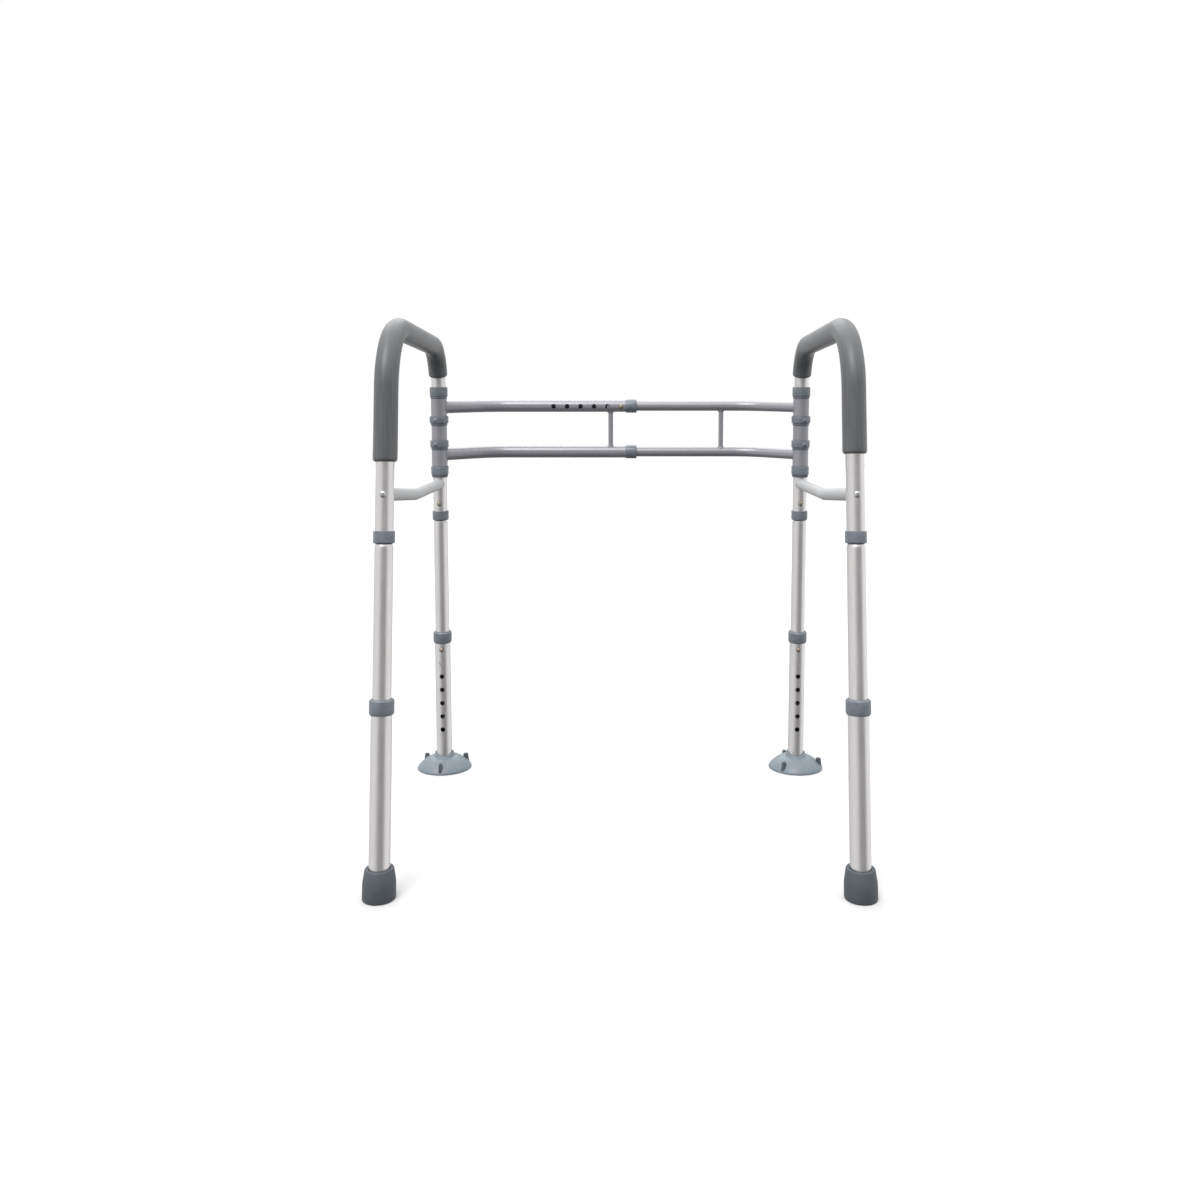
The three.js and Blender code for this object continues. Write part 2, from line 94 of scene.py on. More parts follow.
def postFrame(side):
    return ladderFrame() @ Matrix.Translation((postFoot(side).x / mm, 0, 0))


def floorFrame(side, end):
    # upright on the floor, but sheared so that the axis follows the leg and the sole stays flat
    leg = legFrame(side, end)
    up = leg.to_3x3() @ Vector((0, 0, 1))
    shear = Matrix.Identity(4)
    shear[0][2] = up.x / up.z
    shear[1][2] = up.y / up.z
    return Matrix.Translation(leg.translation) @ shear @ Matrix.Scale(mm, 4)


# colours, nodes and finishes
def hexColor(code):
    parts = [int(code[i:i + 2], 16) / 255 for i in (1, 3, 5)]
    linear = [p / 12.92 if p <= 0.04045 else ((p + 0.055) / 1.055) ** 2.4 for p in parts]
    return (*linear, 1.0)


def addNode(tree, kind, settings=None, sockets=None):
    node = tree.nodes.new(kind)
    for key, value in (settings or {}).items():
        setattr(node, key, value)
    for key, value in (sockets or {}).items():
        if isinstance(value, bpy.types.NodeSocket):
            tree.links.new(value, node.inputs[key])
        else:
            node.inputs[key].default_value = value
    return node


def layPattern(tree, size, detail=2.0, rough=0.5, stretch=None):
    # a noise with features about size millimetres across; a stretched one runs along a drawn tube,
    # on the coordinates that the tube had while it was straight
    if stretch is None:
        coords = addNode(tree, "ShaderNodeTexCoord").outputs["Object"]
    else:
        drawn = addNode(tree, "ShaderNodeAttribute", {"attribute_name": "drawn"}).outputs["Vector"]
        coords = addNode(tree, "ShaderNodeMapping", None,
                         {"Vector": drawn, "Scale": (1, 1, stretch)}).outputs["Vector"]
    return addNode(tree, "ShaderNodeTexNoise", None, {
        "Vector": coords, "Scale": 1 / (size * mm), "Detail": detail, "Roughness": rough,
    }).outputs["Fac"]


def average(tree, fields):
    if len(fields) == 1:
        return fields[0]
    total = addNode(tree, "ShaderNodeMath", {"operation": "ADD"}, {0: fields[0], 1: fields[1]})
    half = addNode(tree, "ShaderNodeMath", {"operation": "MULTIPLY"}, {0: total.outputs["Value"], 1: 0.5})
    return half.outputs["Value"]


def makeFinish(d):
    # two colours, the roughness and the relief, each varied by the patterns that the finish names
    material = bpy.data.materials.new(d["name"])
    material.use_nodes = True
    tree = material.node_tree
    tree.nodes.clear()
    patterns = {key: layPattern(tree, **pattern) for key, pattern in d["patterns"].items()}
    ramp = addNode(tree, "ShaderNodeValToRGB", None, {"Fac": patterns[d["colorBy"]]})
    between = d.get("between", (0.35, 0.65))
    for element, position, code in zip(ramp.color_ramp.elements, between, d["colors"]):
        element.position = position
        element.color = hexColor(code)
    shader = addNode(tree, "ShaderNodeBsdfPrincipled", None, {
        "Base Color": ramp.outputs["Color"], **d.get("shader", {})})
    if "roughBy" in d:
        low, high = d["roughness"]
        rough = addNode(tree, "ShaderNodeMapRange", None, {
            "Value": average(tree, [patterns[key] for key in d["roughBy"]]),
            "From Min": 0.3, "From Max": 0.7, "To Min": low, "To Max": high})
        tree.links.new(rough.outputs["Result"], shader.inputs["Roughness"])
    if "reliefBy" in d:
        relief = addNode(tree, "ShaderNodeBump", None, {
            "Height": average(tree, [patterns[key] for key in d["reliefBy"]]),
            "Distance": d["relief"] * mm})
        tree.links.new(relief.outputs["Normal"], shader.inputs["Normal"])
    addNode(tree, "ShaderNodeOutputMaterial", None, {"Surface": shader.outputs["BSDF"]})
    return material


# sizes of patterns and depths of relief are in millimetres; real grit and drawing lines are finer,
# and are drawn 0.35 to 0.5 across so that they show

# drawn tube, satin anodised: fine lines along the tube, and a soft broken sheen across it
aluminium = makeFinish({
    "name": "anodisedAluminium", "colors": ("#c4c2c2", "#d4d2d1"), "colorBy": "lines",
    "patterns": {"lines": {"size": 0.5, "detail": 3.0, "rough": 0.6, "stretch": 0.012},
                 "cloud": {"size": 22}},
    "roughness": (0.26, 0.38), "roughBy": ["lines", "cloud"], "relief": 0.012, "reliefBy": ["lines"],
    "shader": {"Metallic": 1.0},
})
# satin powder coat on steel: orange peel and fine metallic grit
railPaint = makeFinish({
    "name": "powderCoat", "colors": ("#828287", "#8e8e94"), "colorBy": "grit",
    "patterns": {"peel": {"size": 1.4}, "grit": {"size": 0.35, "detail": 1.0}},
    "roughness": (0.28, 0.36), "roughBy": ["peel"], "relief": 0.03, "reliefBy": ["peel"],
    "shader": {"Metallic": 0.3},
})
# matt silver paint: a flat sheen with a slight speckle
bracePaint = makeFinish({
    "name": "silverCoat", "colors": ("#a2a3a4", "#adaeaf"), "colorBy": "speckle",
    "patterns": {"speckle": {"size": 0.4, "detail": 1.0}, "peel": {"size": 1.8, "detail": 1.0}},
    "roughness": (0.48, 0.58), "roughBy": ["peel"], "relief": 0.02, "reliefBy": ["peel"],
    "shader": {"Metallic": 0.15},
})
# blue-grey moulded nylon: spark-eroded texture and cloudy flow marks
nylon = makeFinish({
    "name": "mouldedNylon", "colors": ("#5c636a", "#676e75"), "colorBy": "flow",
    "patterns": {"erosion": {"size": 0.5}, "flow": {"size": 9}},
    "roughness": (0.34, 0.44), "roughBy": ["erosion"], "relief": 0.02, "reliefBy": ["erosion"],
})
# closed-cell PVC foam: smooth extruded skin, faint cells and streaks along it, a soft sheen
foam = makeFinish({
    "name": "skinnedFoam", "colors": ("#494b4e", "#515356"), "colorBy": "streaks",
    "patterns": {"cells": {"size": 0.8, "stretch": 0.6}, "streaks": {"size": 2.5, "stretch": 0.05}},
    "roughness": (0.38, 0.48), "roughBy": ["cells"], "relief": 0.07, "reliefBy": ["cells", "streaks"],
    "shader": {"Sheen Weight": 0.08},
})
# dark blue-grey moulded rubber: a dusty bloom in patches over an eroded texture
tipRubber = makeFinish({
    "name": "mouldedRubber", "colors": ("#3b4146", "#42484e"), "colorBy": "bloom", "between": (0.2, 0.8),
    "patterns": {"bloom": {"size": 14, "detail": 3.0}, "erosion": {"size": 0.6}},
    "roughness": (0.52, 0.66), "roughBy": ["erosion"], "relief": 0.03, "reliefBy": ["erosion"],
})
# soft vinyl: waxy and slightly mottled, with a low broad sheen; the tabs get a darker copy of it, which is painted
# shade for their upright faces
softVinyl = {
    "colorBy": "mottle",
    "patterns": {"mottle": {"size": 6, "detail": 3.0}, "pores": {"size": 0.7, "detail": 1.0}},
    "roughness": (0.38, 0.5), "roughBy": ["pores"], "relief": 0.02, "reliefBy": ["pores"],
    "shader": {"Subsurface Weight": 0.05, "Subsurface Radius": (0.002, 0.002, 0.002)},
}
cupVinyl = makeFinish({**softVinyl, "name": "cupVinyl", "colors": ("#646e75", "#6a747b")})
# the tabs' darker colours are painted shade: the cup's own vinyl, darkened for upright faces that get less light
shadedTabVinyl = makeFinish({**softVinyl, "name": "shadedTabVinyl", "colors": ("#3d454b", "#485056")})
# nickel-dulled brass, rubbed brighter in patches
brass = makeFinish({
    "name": "platedBrass", "colors": ("#9a9082", "#b5aa99"), "colorBy": "rub",
    "patterns": {"rub": {"size": 1.2}}, "roughness": (0.22, 0.36), "roughBy": ["rub"],
    "shader": {"Metallic": 1.0},
})
# zinc-plated steel: bluish, with a fine crystalline dulling
steel = makeFinish({
    "name": "zincSteel", "colors": ("#a9abad", "#c6c8ca"), "colorBy": "crystals",
    "patterns": {"crystals": {"size": 0.5}}, "roughness": (0.24, 0.36), "roughBy": ["crystals"],
    "shader": {"Metallic": 1.0},
})
print("materials made:", len(bpy.data.materials))


# shaping
def turned(profile, segments=64):
    # spins an outline of (radius, height) points round Z; it closes on itself or ends on the axis
    bm = bmesh.new()
    verts = [bm.verts.new((radius, 0, height)) for radius, height in profile]
    pairs = list(zip(verts, verts[1:]))
    if profile[0][0] > 0 or profile[-1][0] > 0:
        pairs.append((verts[-1], verts[0]))
    edges = [bm.edges.new(pair) for pair in pairs]
    bmesh.ops.spin(bm, geom=verts + edges, cent=(0, 0, 0), axis=(0, 0, 1), dvec=(0, 0, 0),
                   angle=2 * math.pi, steps=segments, use_merge=True)
    bmesh.ops.remove_doubles(bm, verts=bm.verts, dist=1e-4)
    bmesh.ops.recalc_face_normals(bm, faces=bm.faces)
    return bm


def soften(bm, width, segments=3, above=30):
    # rounds every edge sharper than that many degrees
    sharp = [e for e in bm.edges if e.is_manifold and e.calc_face_angle() > math.radians(above)]
    bmesh.ops.bevel(bm, geom=sharp, offset=width, offset_type="OFFSET", affect="EDGES",
                    segments=segments, profile=0.5, material=-1, clamp_overlap=True)
    return bm


def joined(*parts):
    whole = bmesh.new()
    for part in parts:
        mesh = bpy.data.meshes.new("part")
        part.to_mesh(mesh)
        part.free()
        whole.from_mesh(mesh)
        bpy.data.meshes.remove(mesh)
    return whole


def linkMesh(bm, name):
    mesh = bpy.data.meshes.new(name)
    bm.to_mesh(mesh)
    bm.free()
    piece = bpy.data.objects.new(name, mesh)
    scene.collection.objects.link(piece)
    return piece


def drilled(bm, cutters):
    # cuts the joined cutters out of a straight, unplaced shape
    body = linkMesh(bm, "blank")
    tool = linkMesh(joined(*cutters), "drill")
    cut = body.modifiers.new("holes", "BOOLEAN")
    cut.operation = "DIFFERENCE"
    cut.solver = "EXACT"
    cut.object = tool
    bpy.context.view_layer.update()
    depsgraph = bpy.context.evaluated_depsgraph_get()
    result = bmesh.new()
    result.from_mesh(body.evaluated_get(depsgraph).to_mesh())
    for used in (body, tool):
        mesh = used.data
        bpy.data.objects.remove(used)
        bpy.data.meshes.remove(mesh)
    return result


def cutterAcross(radius, height, facing=0.0, reach=20):
    # a round cutter through one wall, which starts inside the bore; facing 0 is the front of the leg
    bm = bmesh.new()
    inside = 5
    bmesh.ops.create_cone(bm, cap_ends=True, segments=24, radius1=radius, radius2=radius, depth=reach)
    bm.transform(Matrix.Translation((0, -reach / 2 - inside, 0)) @ Matrix.Rotation(math.pi / 2, 4, "X"))
    bm.transform(Matrix.Translation((0, 0, height)) @ Matrix.Rotation(facing, 4, "Z"))
    return bm


def keepDrawn(bm):
    layer = bm.verts.layers.float_vector.new("drawn")
    for vert in bm.verts:
        vert[layer] = vert.co * mm
    return bm


def place(bm, name, where, body, material, nodes, sharp=40):
    # puts a shape where it belongs, as a finished piece that rides one body
    if "drawn" not in bm.verts.layers.float_vector:
        keepDrawn(bm)
    bm.transform(where)
    piece = linkMesh(bm, name)
    mesh = piece.data
    mesh.polygons.foreach_set("use_smooth", [True] * len(mesh.polygons))
    mesh.set_sharp_from_angle(angle=math.radians(sharp))
    mesh.materials.append(material)
    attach(piece, body)
    if nodes:
        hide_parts(*nodes)
    return piece


# routes: straight runs and bends in one plane
def makeRoute(corners, radii, flat, bendSteps):
    pieces = []
    start = Vector(corners[0])
    for i, radius in enumerate(radii):
        corner = Vector(corners[i + 1])
        into = (corner - Vector(corners[i])).normalized()
        out = (Vector(corners[i + 2]) - corner).normalized()
        angle = into.angle(out)
        setback = radius * math.tan(angle / 2)
        begin = corner - into * setback
        pieces.append({"start": start, "into": into, "length": (begin - start).length, "steps": 1})
        side = (out - into * out.dot(into)).normalized()
        pieces.append({"start": begin, "into": into, "side": side, "radius": radius,
                       "length": radius * angle, "steps": bendSteps})
        start = corner + out * setback
    end = Vector(corners[-1])
    pieces.append({"start": start, "into": (end - start).normalized(),
                   "length": (end - start).length, "steps": 1})
    distance = 0.0
    for piece in pieces:
        piece["from"] = distance
        distance += piece["length"]
    return {"pieces": pieces, "length": distance, "flat": Vector(flat)}


def stations(route, low=0.0, high=None, longest=60.0):
    # distances along the route where a swept tube needs a ring
    high = route["length"] if high is None else high
    marks = [low, high]
    for piece in route["pieces"]:
        steps = max(piece["steps"], math.ceil(piece["length"] / longest))
        marks += [piece["from"] + piece["length"] * i / steps for i in range(steps + 1)]
    kept = sorted(m for m in marks if low <= m <= high)
    return [m for i, m in enumerate(kept) if i == 0 or m - kept[i - 1] > 0.05]


def along(route, distance):
    last = route["pieces"][-1]
    piece = next((p for p in route["pieces"] if distance <= p["from"] + p["length"]), last)
    gone = distance - piece["from"]
    if "radius" not in piece:
        return piece["start"] + piece["into"] * gone, piece["into"]
    turn = gone / piece["radius"]
    shift = piece["into"] * math.sin(turn) + piece["side"] * (1 - math.cos(turn))
    heading = piece["into"] * math.cos(turn) + piece["side"] * math.sin(turn)
    return piece["start"] + shift * piece["radius"], heading


def layAlong(bm, route):
    # bends a straight tube, made along Z, onto the route; it keeps its straight coordinates
    keepDrawn(bm)
    for vert in bm.verts:
        point, heading = along(route, vert.co.z)
        vert.co = point + route["flat"] * vert.co.x + heading.cross(route["flat"]) * vert.co.y
    return bm


def tubeProfile(outer, inner, marks, rounding=0.4):
    # outline of a tube wall with rings at the marks and slightly broken end edges
    low, high = marks[0], marks[-1]
    outside = [(outer - rounding, low), (outer, low + rounding)]
    outside += [(outer, mark) for mark in marks[1:-1]]
    outside += [(outer, high - rounding), (outer - rounding, high)]
    return outside + [(inner, mark) for mark in reversed(marks)]


# side hoops: bent tube and foam grip, heights up the post or the front leg
hoopTube = {
    "outer": 12.7, "inner": 11.2, "ends": 476,  # height of the tube's mouths up each leg
    "frontCorner": (415.5, 816.7), "frontBend": 100,  # forward of the post, up the post
    "rearCorner": (0, 789), "rearBend": 75,
    "bendSteps": 28, "segments": 56,
    "buttonHole": 4.4, "buttonHeight": 504.3,
}
foot = {"forward": 537.3, "up": 47, "splay": 9}  # front foot and leg in the hoop's plane


def inHoop(forward, up):
    return Vector((0, -forward, up))


def upFrontLeg(distance):
    splay = math.radians(foot["splay"])
    return inHoop(foot["forward"] - distance * math.sin(splay), foot["up"] + distance * math.cos(splay))


def hoopRoute():
    corners = [upFrontLeg(hoopTube["ends"]), inHoop(*hoopTube["frontCorner"]),
               inHoop(*hoopTube["rearCorner"]), inHoop(0, hoopTube["ends"])]
    radii = [hoopTube["frontBend"], hoopTube["rearBend"]]
    return makeRoute(corners, radii, (1, 0, 0), hoopTube["bendSteps"])


def makeHoopTube(side, route):
    d = hoopTube
    profile = tubeProfile(d["outer"], d["inner"], stations(route, longest=20))
    rise = d["buttonHeight"] - d["ends"]
    # laid along the route, the back of the section faces into the hoop on both legs
    holes = [cutterAcross(d["buttonHole"], mark, math.pi) for mark in (rise, route["length"] - rise)]
    bm = layAlong(drilled(turned(profile, d["segments"]), holes), route)
    place(bm, side + "HoopTube", hoopFrame(side), side + "_side", aluminium,
          [side + "_hoop_tube"])


grip = {
    "radius": 16.75, "bore": 12.8, "frontEnd": {"left": 585, "right": 596},  # up the front leg
    "rearTurn": 14.4,  # degrees of the rear bend left bare
    "rounding": 4.5, "segments": 72, "ringPitch": 6,
    "ripple": 0.35, "ripplePitch": 7.5,  # creases inside the bends, and how far apart
    "drift": 0.25, "driftSize": 50,  # how unevenly the foam is thick, and over what length
}


def makeGrip(side, route):
    d = grip
    low = d["frontEnd"][side] - hoopTube["ends"]
    rearBend = route["pieces"][3]
    high = rearBend["from"] + rearBend["length"] - rearBend["radius"] * math.radians(d["rearTurn"])
    marks = stations(route, low, high, d["ringPitch"])
    radius, corner = d["radius"], d["rounding"]
    arc = [(math.sin(a), math.cos(a)) for a in (math.radians(15 * i) for i in range(7))]
    start = [(radius - corner + corner * out, low + corner - corner * up) for out, up in arc]
    end = [(radius - corner + corner * out, high - corner + corner * up) for up, out in arc]
    middle = [(radius, mark) for mark in marks if low + corner + 1 < mark < high - corner - 1]
    bore = [(d["bore"], mark) for mark in reversed(marks[::3] + [high])]
    bm = turned(start + middle + end + bore + [(d["bore"], low)], d["segments"])
    creaseFoam(bm, route)
    layAlong(bm, route)
    piece = place(bm, side + "Grip", hoopFrame(side), side + "_side", foam,
                  [side + "_grip"], 60)


def creaseFoam(bm, route):
    # foam bunches into shallow creases on the inside of each bend and stretches smooth outside
    for vert in bm.verts:
        radius = math.hypot(vert.co.x, vert.co.y)
        if radius < grip["radius"] - 0.5:
            continue
        inside = max(0.0, vert.co.y / radius) ** 2  # the section's Y faces into the hoop
        wave = math.sin(vert.co.z / grip["ripplePitch"] * 2 * math.pi)
        drift = noise.noise(vert.co / grip["driftSize"]) * grip["drift"]
        bent = sum(bendShare(piece, vert.co.z) for piece in route["pieces"] if "radius" in piece)
        change = drift - inside * bent * grip["ripple"] * (1 + wave)
        vert.co.x *= 1 + change / radius
        vert.co.y *= 1 + change / radius


def bendShare(piece, distance):
    # 0 outside the bend, rising smoothly to 1 in its middle
    share = (distance - piece["from"]) / piece["length"]
    return math.sin(math.pi * share) ** 2 if 0 < share < 1 else 0.0


# braces, saddles and screws
brace = {
    "outer": 9.5, "inner": 8.0, "rearHeight": 540.1, "frontHeight": 540.5,
    "middle": (239, 552.4), "bend": 55, "bendSteps": 12, "segments": 48,
    "rearStart": 6, "frontStart": 8,  # from each axis, before the cut ends are coped outwards
}
saddle = {"radius": 7.2, "thickness": 8, "start": 4, "rounding": 0.6, "segments": 48}
screw = {
    "head": 4.6, "headHeight": 3.2, "seat": 12.6, "shank": 2.4, "reach": 34, "segments": 40,
    "slot": 1.2, "slotDepth": 1.6, "slotTurn": 0.6,  # cross slots, and their turn in radians
}


def braceEnds():
    return inHoop(0, brace["rearHeight"]), upFrontLeg(brace["frontHeight"])


def cope(bm, axisPoint, axisWay, radius, way):
    # slides an end's vertices along the tube onto another round tube's surface, so the end hugs it
    acrossWay = way - axisWay * way.dot(axisWay)
    for vert in bm.verts:
        offset = vert.co - axisPoint
        across = offset - axisWay * offset.dot(axisWay)
        lead = across.dot(acrossWay)
        room = lead ** 2 - acrossWay.length_squared * (across.length_squared - radius ** 2)
        if across.length < radius and room > 0:
            vert.co += way * ((math.sqrt(room) - lead) / acrossWay.length_squared)


def makeBrace(side):
    d = brace
    rear, front = braceEnds()
    middle = inHoop(*d["middle"])
    rearWay, frontWay = (middle - rear).normalized(), (middle - front).normalized()
    tube = hoopTube["outer"]
    ends = rear + rearWay * d["rearStart"], front + frontWay * d["frontStart"]
    route = makeRoute([ends[0], middle, ends[1]], [d["bend"]], (1, 0, 0), d["bendSteps"])
    marks = stations(route, longest=10)
    bm = layAlong(turned(tubeProfile(d["outer"], d["inner"], marks, 0.1), d["segments"]), route)
    cope(bm, rear, Vector((0, 0, 1)), tube + snug, rearWay)
    cope(bm, front, frontLegWay(), tube + saddle["thickness"] + snug, frontWay)
    place(bm, side + "Brace", hoopFrame(side), side + "_side", bracePaint,
          [side + "_brace"])


def frontLegWay():
    return (upFrontLeg(600) - upFrontLeg(0)).normalized()


def aim(origin, towards):
    # Z from one point towards another
    turn = (towards - origin).to_track_quat("Z", "Y").to_matrix().to_4x4()
    return Matrix.Translation(origin) @ turn


def makeSaddle(side):
    # a thin plastic pad between the leg and the brace's cut end
    d = saddle
    front = braceEnds()[1]
    way = (inHoop(*brace["middle"]) - front).normalized()
    radius, end = d["radius"], hoopTube["outer"] + d["thickness"]
    bm = turned([(0, d["start"]), (radius, d["start"]), (radius, end - d["rounding"]),
                 (radius - d["rounding"], end), (0, end)], d["segments"])
    for share in (-0.75, -0.25, 0.25, 0.75):  # cuts across the flat end, so that it can hug the leg
        bmesh.ops.bisect_plane(bm, geom=bm.verts[:] + bm.edges[:] + bm.faces[:],
                               plane_co=(radius * share, 0, 0), plane_no=(1, 0, 0))
    bm.transform(aim(front, inHoop(*brace["middle"])))
    cope(bm, front, frontLegWay(), hoopTube["outer"] + snug, way)
    place(bm, side + "BraceSaddle", hoopFrame(side), side + "_side", nylon,
          [side + "_brace_saddle"])


def makeScrew(side, end):
    d = screw
    rear, front = braceEnds()
    origin = rear if end == "rear" else front
    low = -d["seat"] - d["headHeight"]
    dome = [(d["head"] * math.sin(a), low + d["headHeight"] * 0.75 * (1 - math.cos(a)))
            for a in (math.radians(15 * i) for i in range(7))]
    shank = [(d["head"], -d["seat"]), (d["shank"], -d["seat"]), (d["shank"], d["reach"]), (0, d["reach"])]
    bm = turned(dome + shank, d["segments"])
    for turn in (0, math.pi / 2):
        bar = bmesh.new()
        bmesh.ops.create_cube(bar, size=1.0)
        bmesh.ops.scale(bar, verts=bar.verts, vec=(d["head"] * 1.15, d["slot"], d["slotDepth"] * 2))
        bar.transform(Matrix.Translation((0, 0, low)) @ Matrix.Rotation(turn + d["slotTurn"], 4, "Z"))
        bm = drilled(bm, [bar])
    bm.transform(aim(origin, inHoop(*brace["middle"])))
    name = side + ("Front" if end == "front" else "Rear") + "Screw"
    place(bm, name, hoopFrame(side), side + "_side", steel,
          [f"{side}_brace_{end}_bolt"])


# legs, heights up each leg from the floor
leg = {
    "midOuter": 12.7, "midInner": 11.5, "spigotOuter": 10.8, "spigotInner": 9.6,
    "midBottom": 190, "shoulder": 469.6, "neck": 472.8, "spigotTop": 524,
    "lowerOuter": 14.3, "lowerInner": 13.1, "lowerBottom": 10, "lowerTop": 258,
    "hole": 4.4, "topHole": 230.6, "pitch": 25.4, "holes": 7, "segments": 64, "ringPitch": 12.5,
}


def makeMidLeg(side, end, facing):
    d = leg
    rings = math.ceil((d["shoulder"] - 3 - d["midBottom"]) / d["ringPitch"])
    outside = [(d["midOuter"], d["midBottom"] + d["ringPitch"] * i) for i in range(rings)]
    bulge = [(d["midOuter"], d["shoulder"] - 1.5), (d["midOuter"] - 0.25, d["shoulder"]),
             (d["spigotOuter"] + 0.5, d["neck"]), (d["spigotOuter"], d["neck"] + 1.5)]
    inside = [(d["spigotInner"], d["spigotTop"]), (d["spigotInner"], d["neck"]),
              (d["midInner"], d["shoulder"]), (d["midInner"], d["midBottom"])]
    bm = turned(outside + bulge + [(d["spigotOuter"], d["spigotTop"])] + inside, d["segments"])
    holes = [cutterAcross(d["hole"], d["topHole"], facing),
             cutterAcross(d["hole"], hoopTube["buttonHeight"], facing)]
    name = side + end.capitalize() + "MidLeg"
    place(drilled(bm, holes), name, legFrame(side, end), side + "_side", aluminium,
          [f"{side}_{end}_mid_leg"])


def makeLowerLeg(side, end, facing):
    d = leg
    low, high = d["lowerBottom"], d["lowerTop"]
    marks = [low] + [d["topHole"] - d["pitch"] * (i / 2) for i in range(16, -1, -1)] + [high]
    bm = turned(tubeProfile(d["lowerOuter"], d["lowerInner"], marks), d["segments"])
    holes = [cutterAcross(d["hole"], d["topHole"] - d["pitch"] * i, facing) for i in range(d["holes"])]
    name = side + end.capitalize() + "LowerLeg"
    place(drilled(bm, holes), name, legFrame(side, end), f"{side}_{end}_lower_leg", aluminium,
          [f"{side}_{end}_lower_leg"])


upperCollar = {"bottom": 473.2, "top": 490, "outer": 14.8, "bore": 12.75, "chamfer": 1.6, "edge": 0.25}
lowerCollar = {"bottom": 242, "top": 263, "outer": 16.95, "chamfer": 2.4, "edge": 0.25}


def makeUpperCollar(side, end):
    d = upperCollar
    bm = turned([(d["bore"], d["bottom"]), (d["outer"] - 1.0, d["bottom"]),
                 (d["outer"], d["bottom"] + d["chamfer"]), (d["outer"], d["top"] - 0.2),
                 (d["outer"] - 0.3, d["top"]), (d["bore"] + 0.5, d["top"]),
                 (d["bore"], d["top"] - 0.5)], leg["segments"])
    soften(bm, d["edge"])
    name = side + end.capitalize() + "UpperCollar"
    place(bm, name, legFrame(side, end), side + "_side", nylon,
          [f"{side}_{end}_upper_collar"])


def makeLowerCollar(side, end):
    d = lowerCollar
    bore, guide, step = leg["lowerOuter"] + snug, leg["midOuter"] + 0.15, leg["lowerTop"] + 0.2
    bm = turned([(bore, d["bottom"]), (d["outer"] - 1.3, d["bottom"]),
                 (d["outer"], d["bottom"] + d["chamfer"]), (d["outer"], d["top"] - 1.9),
                 (d["outer"] - 1.7, d["top"]), (guide + 0.5, d["top"]), (guide, d["top"] - 0.5),
                 (guide, step), (bore, step)], leg["segments"])
    soften(bm, d["edge"])
    name = side + end.capitalize() + "LowerCollar"
    place(bm, name, legFrame(side, end), f"{side}_{end}_lower_leg", nylon,
          [f"{side}_{end}_lower_collar"])


# spring buttons, measured out from the middle of their tube
button = {"radius": 3.8, "dome": 1.6, "sheet": 1.0, "armTop": 7, "lap": 5}
legButton = {"tip": 16.5, "arm": 10.5, "far": 6.5, "fold": 34, "width": 6}
hoopButton = {"tip": 14.8, "arm": 8.6, "far": 4.6, "fold": 34, "width": 6}
railButton = {"tip": 13.1, "arm": 6.6, "far": 3.2, "fold": 24, "width": 5}


def buttonShape(d):
    # a domed stud facing forward on a folded leaf spring that hangs down inside the tube
    arm, thin = d["arm"], button["sheet"]
    dome = [(button["radius"] * math.cos(a), d["tip"] - button["dome"] + button["dome"] * math.sin(a))
            for a in (math.radians(18 * i) for i in range(6))]
    stud = turned([(0, arm - 0.5), (button["radius"], arm - 0.5)] + dome[:-1] + [(0, d["tip"])], 32)
    stud.transform(Matrix.Rotation(math.pi / 2, 4, "X"))
    line = [(arm, button["armTop"]), (arm, -button["lap"]), (1.2, 1.5 - d["fold"]), (0, -d["fold"]),
            (-1.2, 1.5 - d["fold"]), (-d["far"], -13)]
    leaf = bmesh.new()
    verts = [leaf.verts.new((-d["width"] / 2, -out, up)) for out, up in line]
    edges = [leaf.edges.new(pair) for pair in zip(verts, verts[1:])]
    grown = bmesh.ops.extrude_edge_only(leaf, edges=edges)["geom"]
    bmesh.ops.translate(leaf, verts=[g for g in grown if isinstance(g, bmesh.types.BMVert)],
                        vec=(d["width"], 0, 0))
    bmesh.ops.recalc_face_normals(leaf, faces=leaf.faces)
    bmesh.ops.solidify(leaf, geom=leaf.faces[:], thickness=thin * 0.6)
    return joined(stud, leaf)


def makeLegButtons(side, end, facing):
    turn = Matrix.Rotation(facing, 4, "Z")
    for kind, shape, height in (("height", legButton, leg["topHole"]),
                                ("upper", hoopButton, hoopTube["buttonHeight"])):
        node = f"{side}_{end}_{kind}_button"
        where = legFrame(side, end) @ Matrix.Translation((0, 0, height)) @ turn
        name = side + end.capitalize() + kind.capitalize() + "Button"
        place(buttonShape(shape), name, where, node, brass, [node])


# feet
tip = {"height": 40, "flare": 22, "outer": 22.35, "top": 19.3, "bore": 14.5, "floor": 8}
cup = {
    "rim": 50, "neck": 18, "height": 31, "dome": 23, "bore": 14.5, "floor": 8, "segments": 96,
    "edge": 2.4, "bulge": 1.9,  # thickness at the rim, and how full the dome is
    "scoop": 22,  # degrees, how the neck's rim drops towards the front
}
tab = {
    "out": 12.5, "thick": 7, "height": 19.5, "reach": 49.2, "bottom": 1.5, "count": 3, "rounding": 2.2,
    "turn": {"left": -90, "right": -130},  # degrees, where the first one stands
}


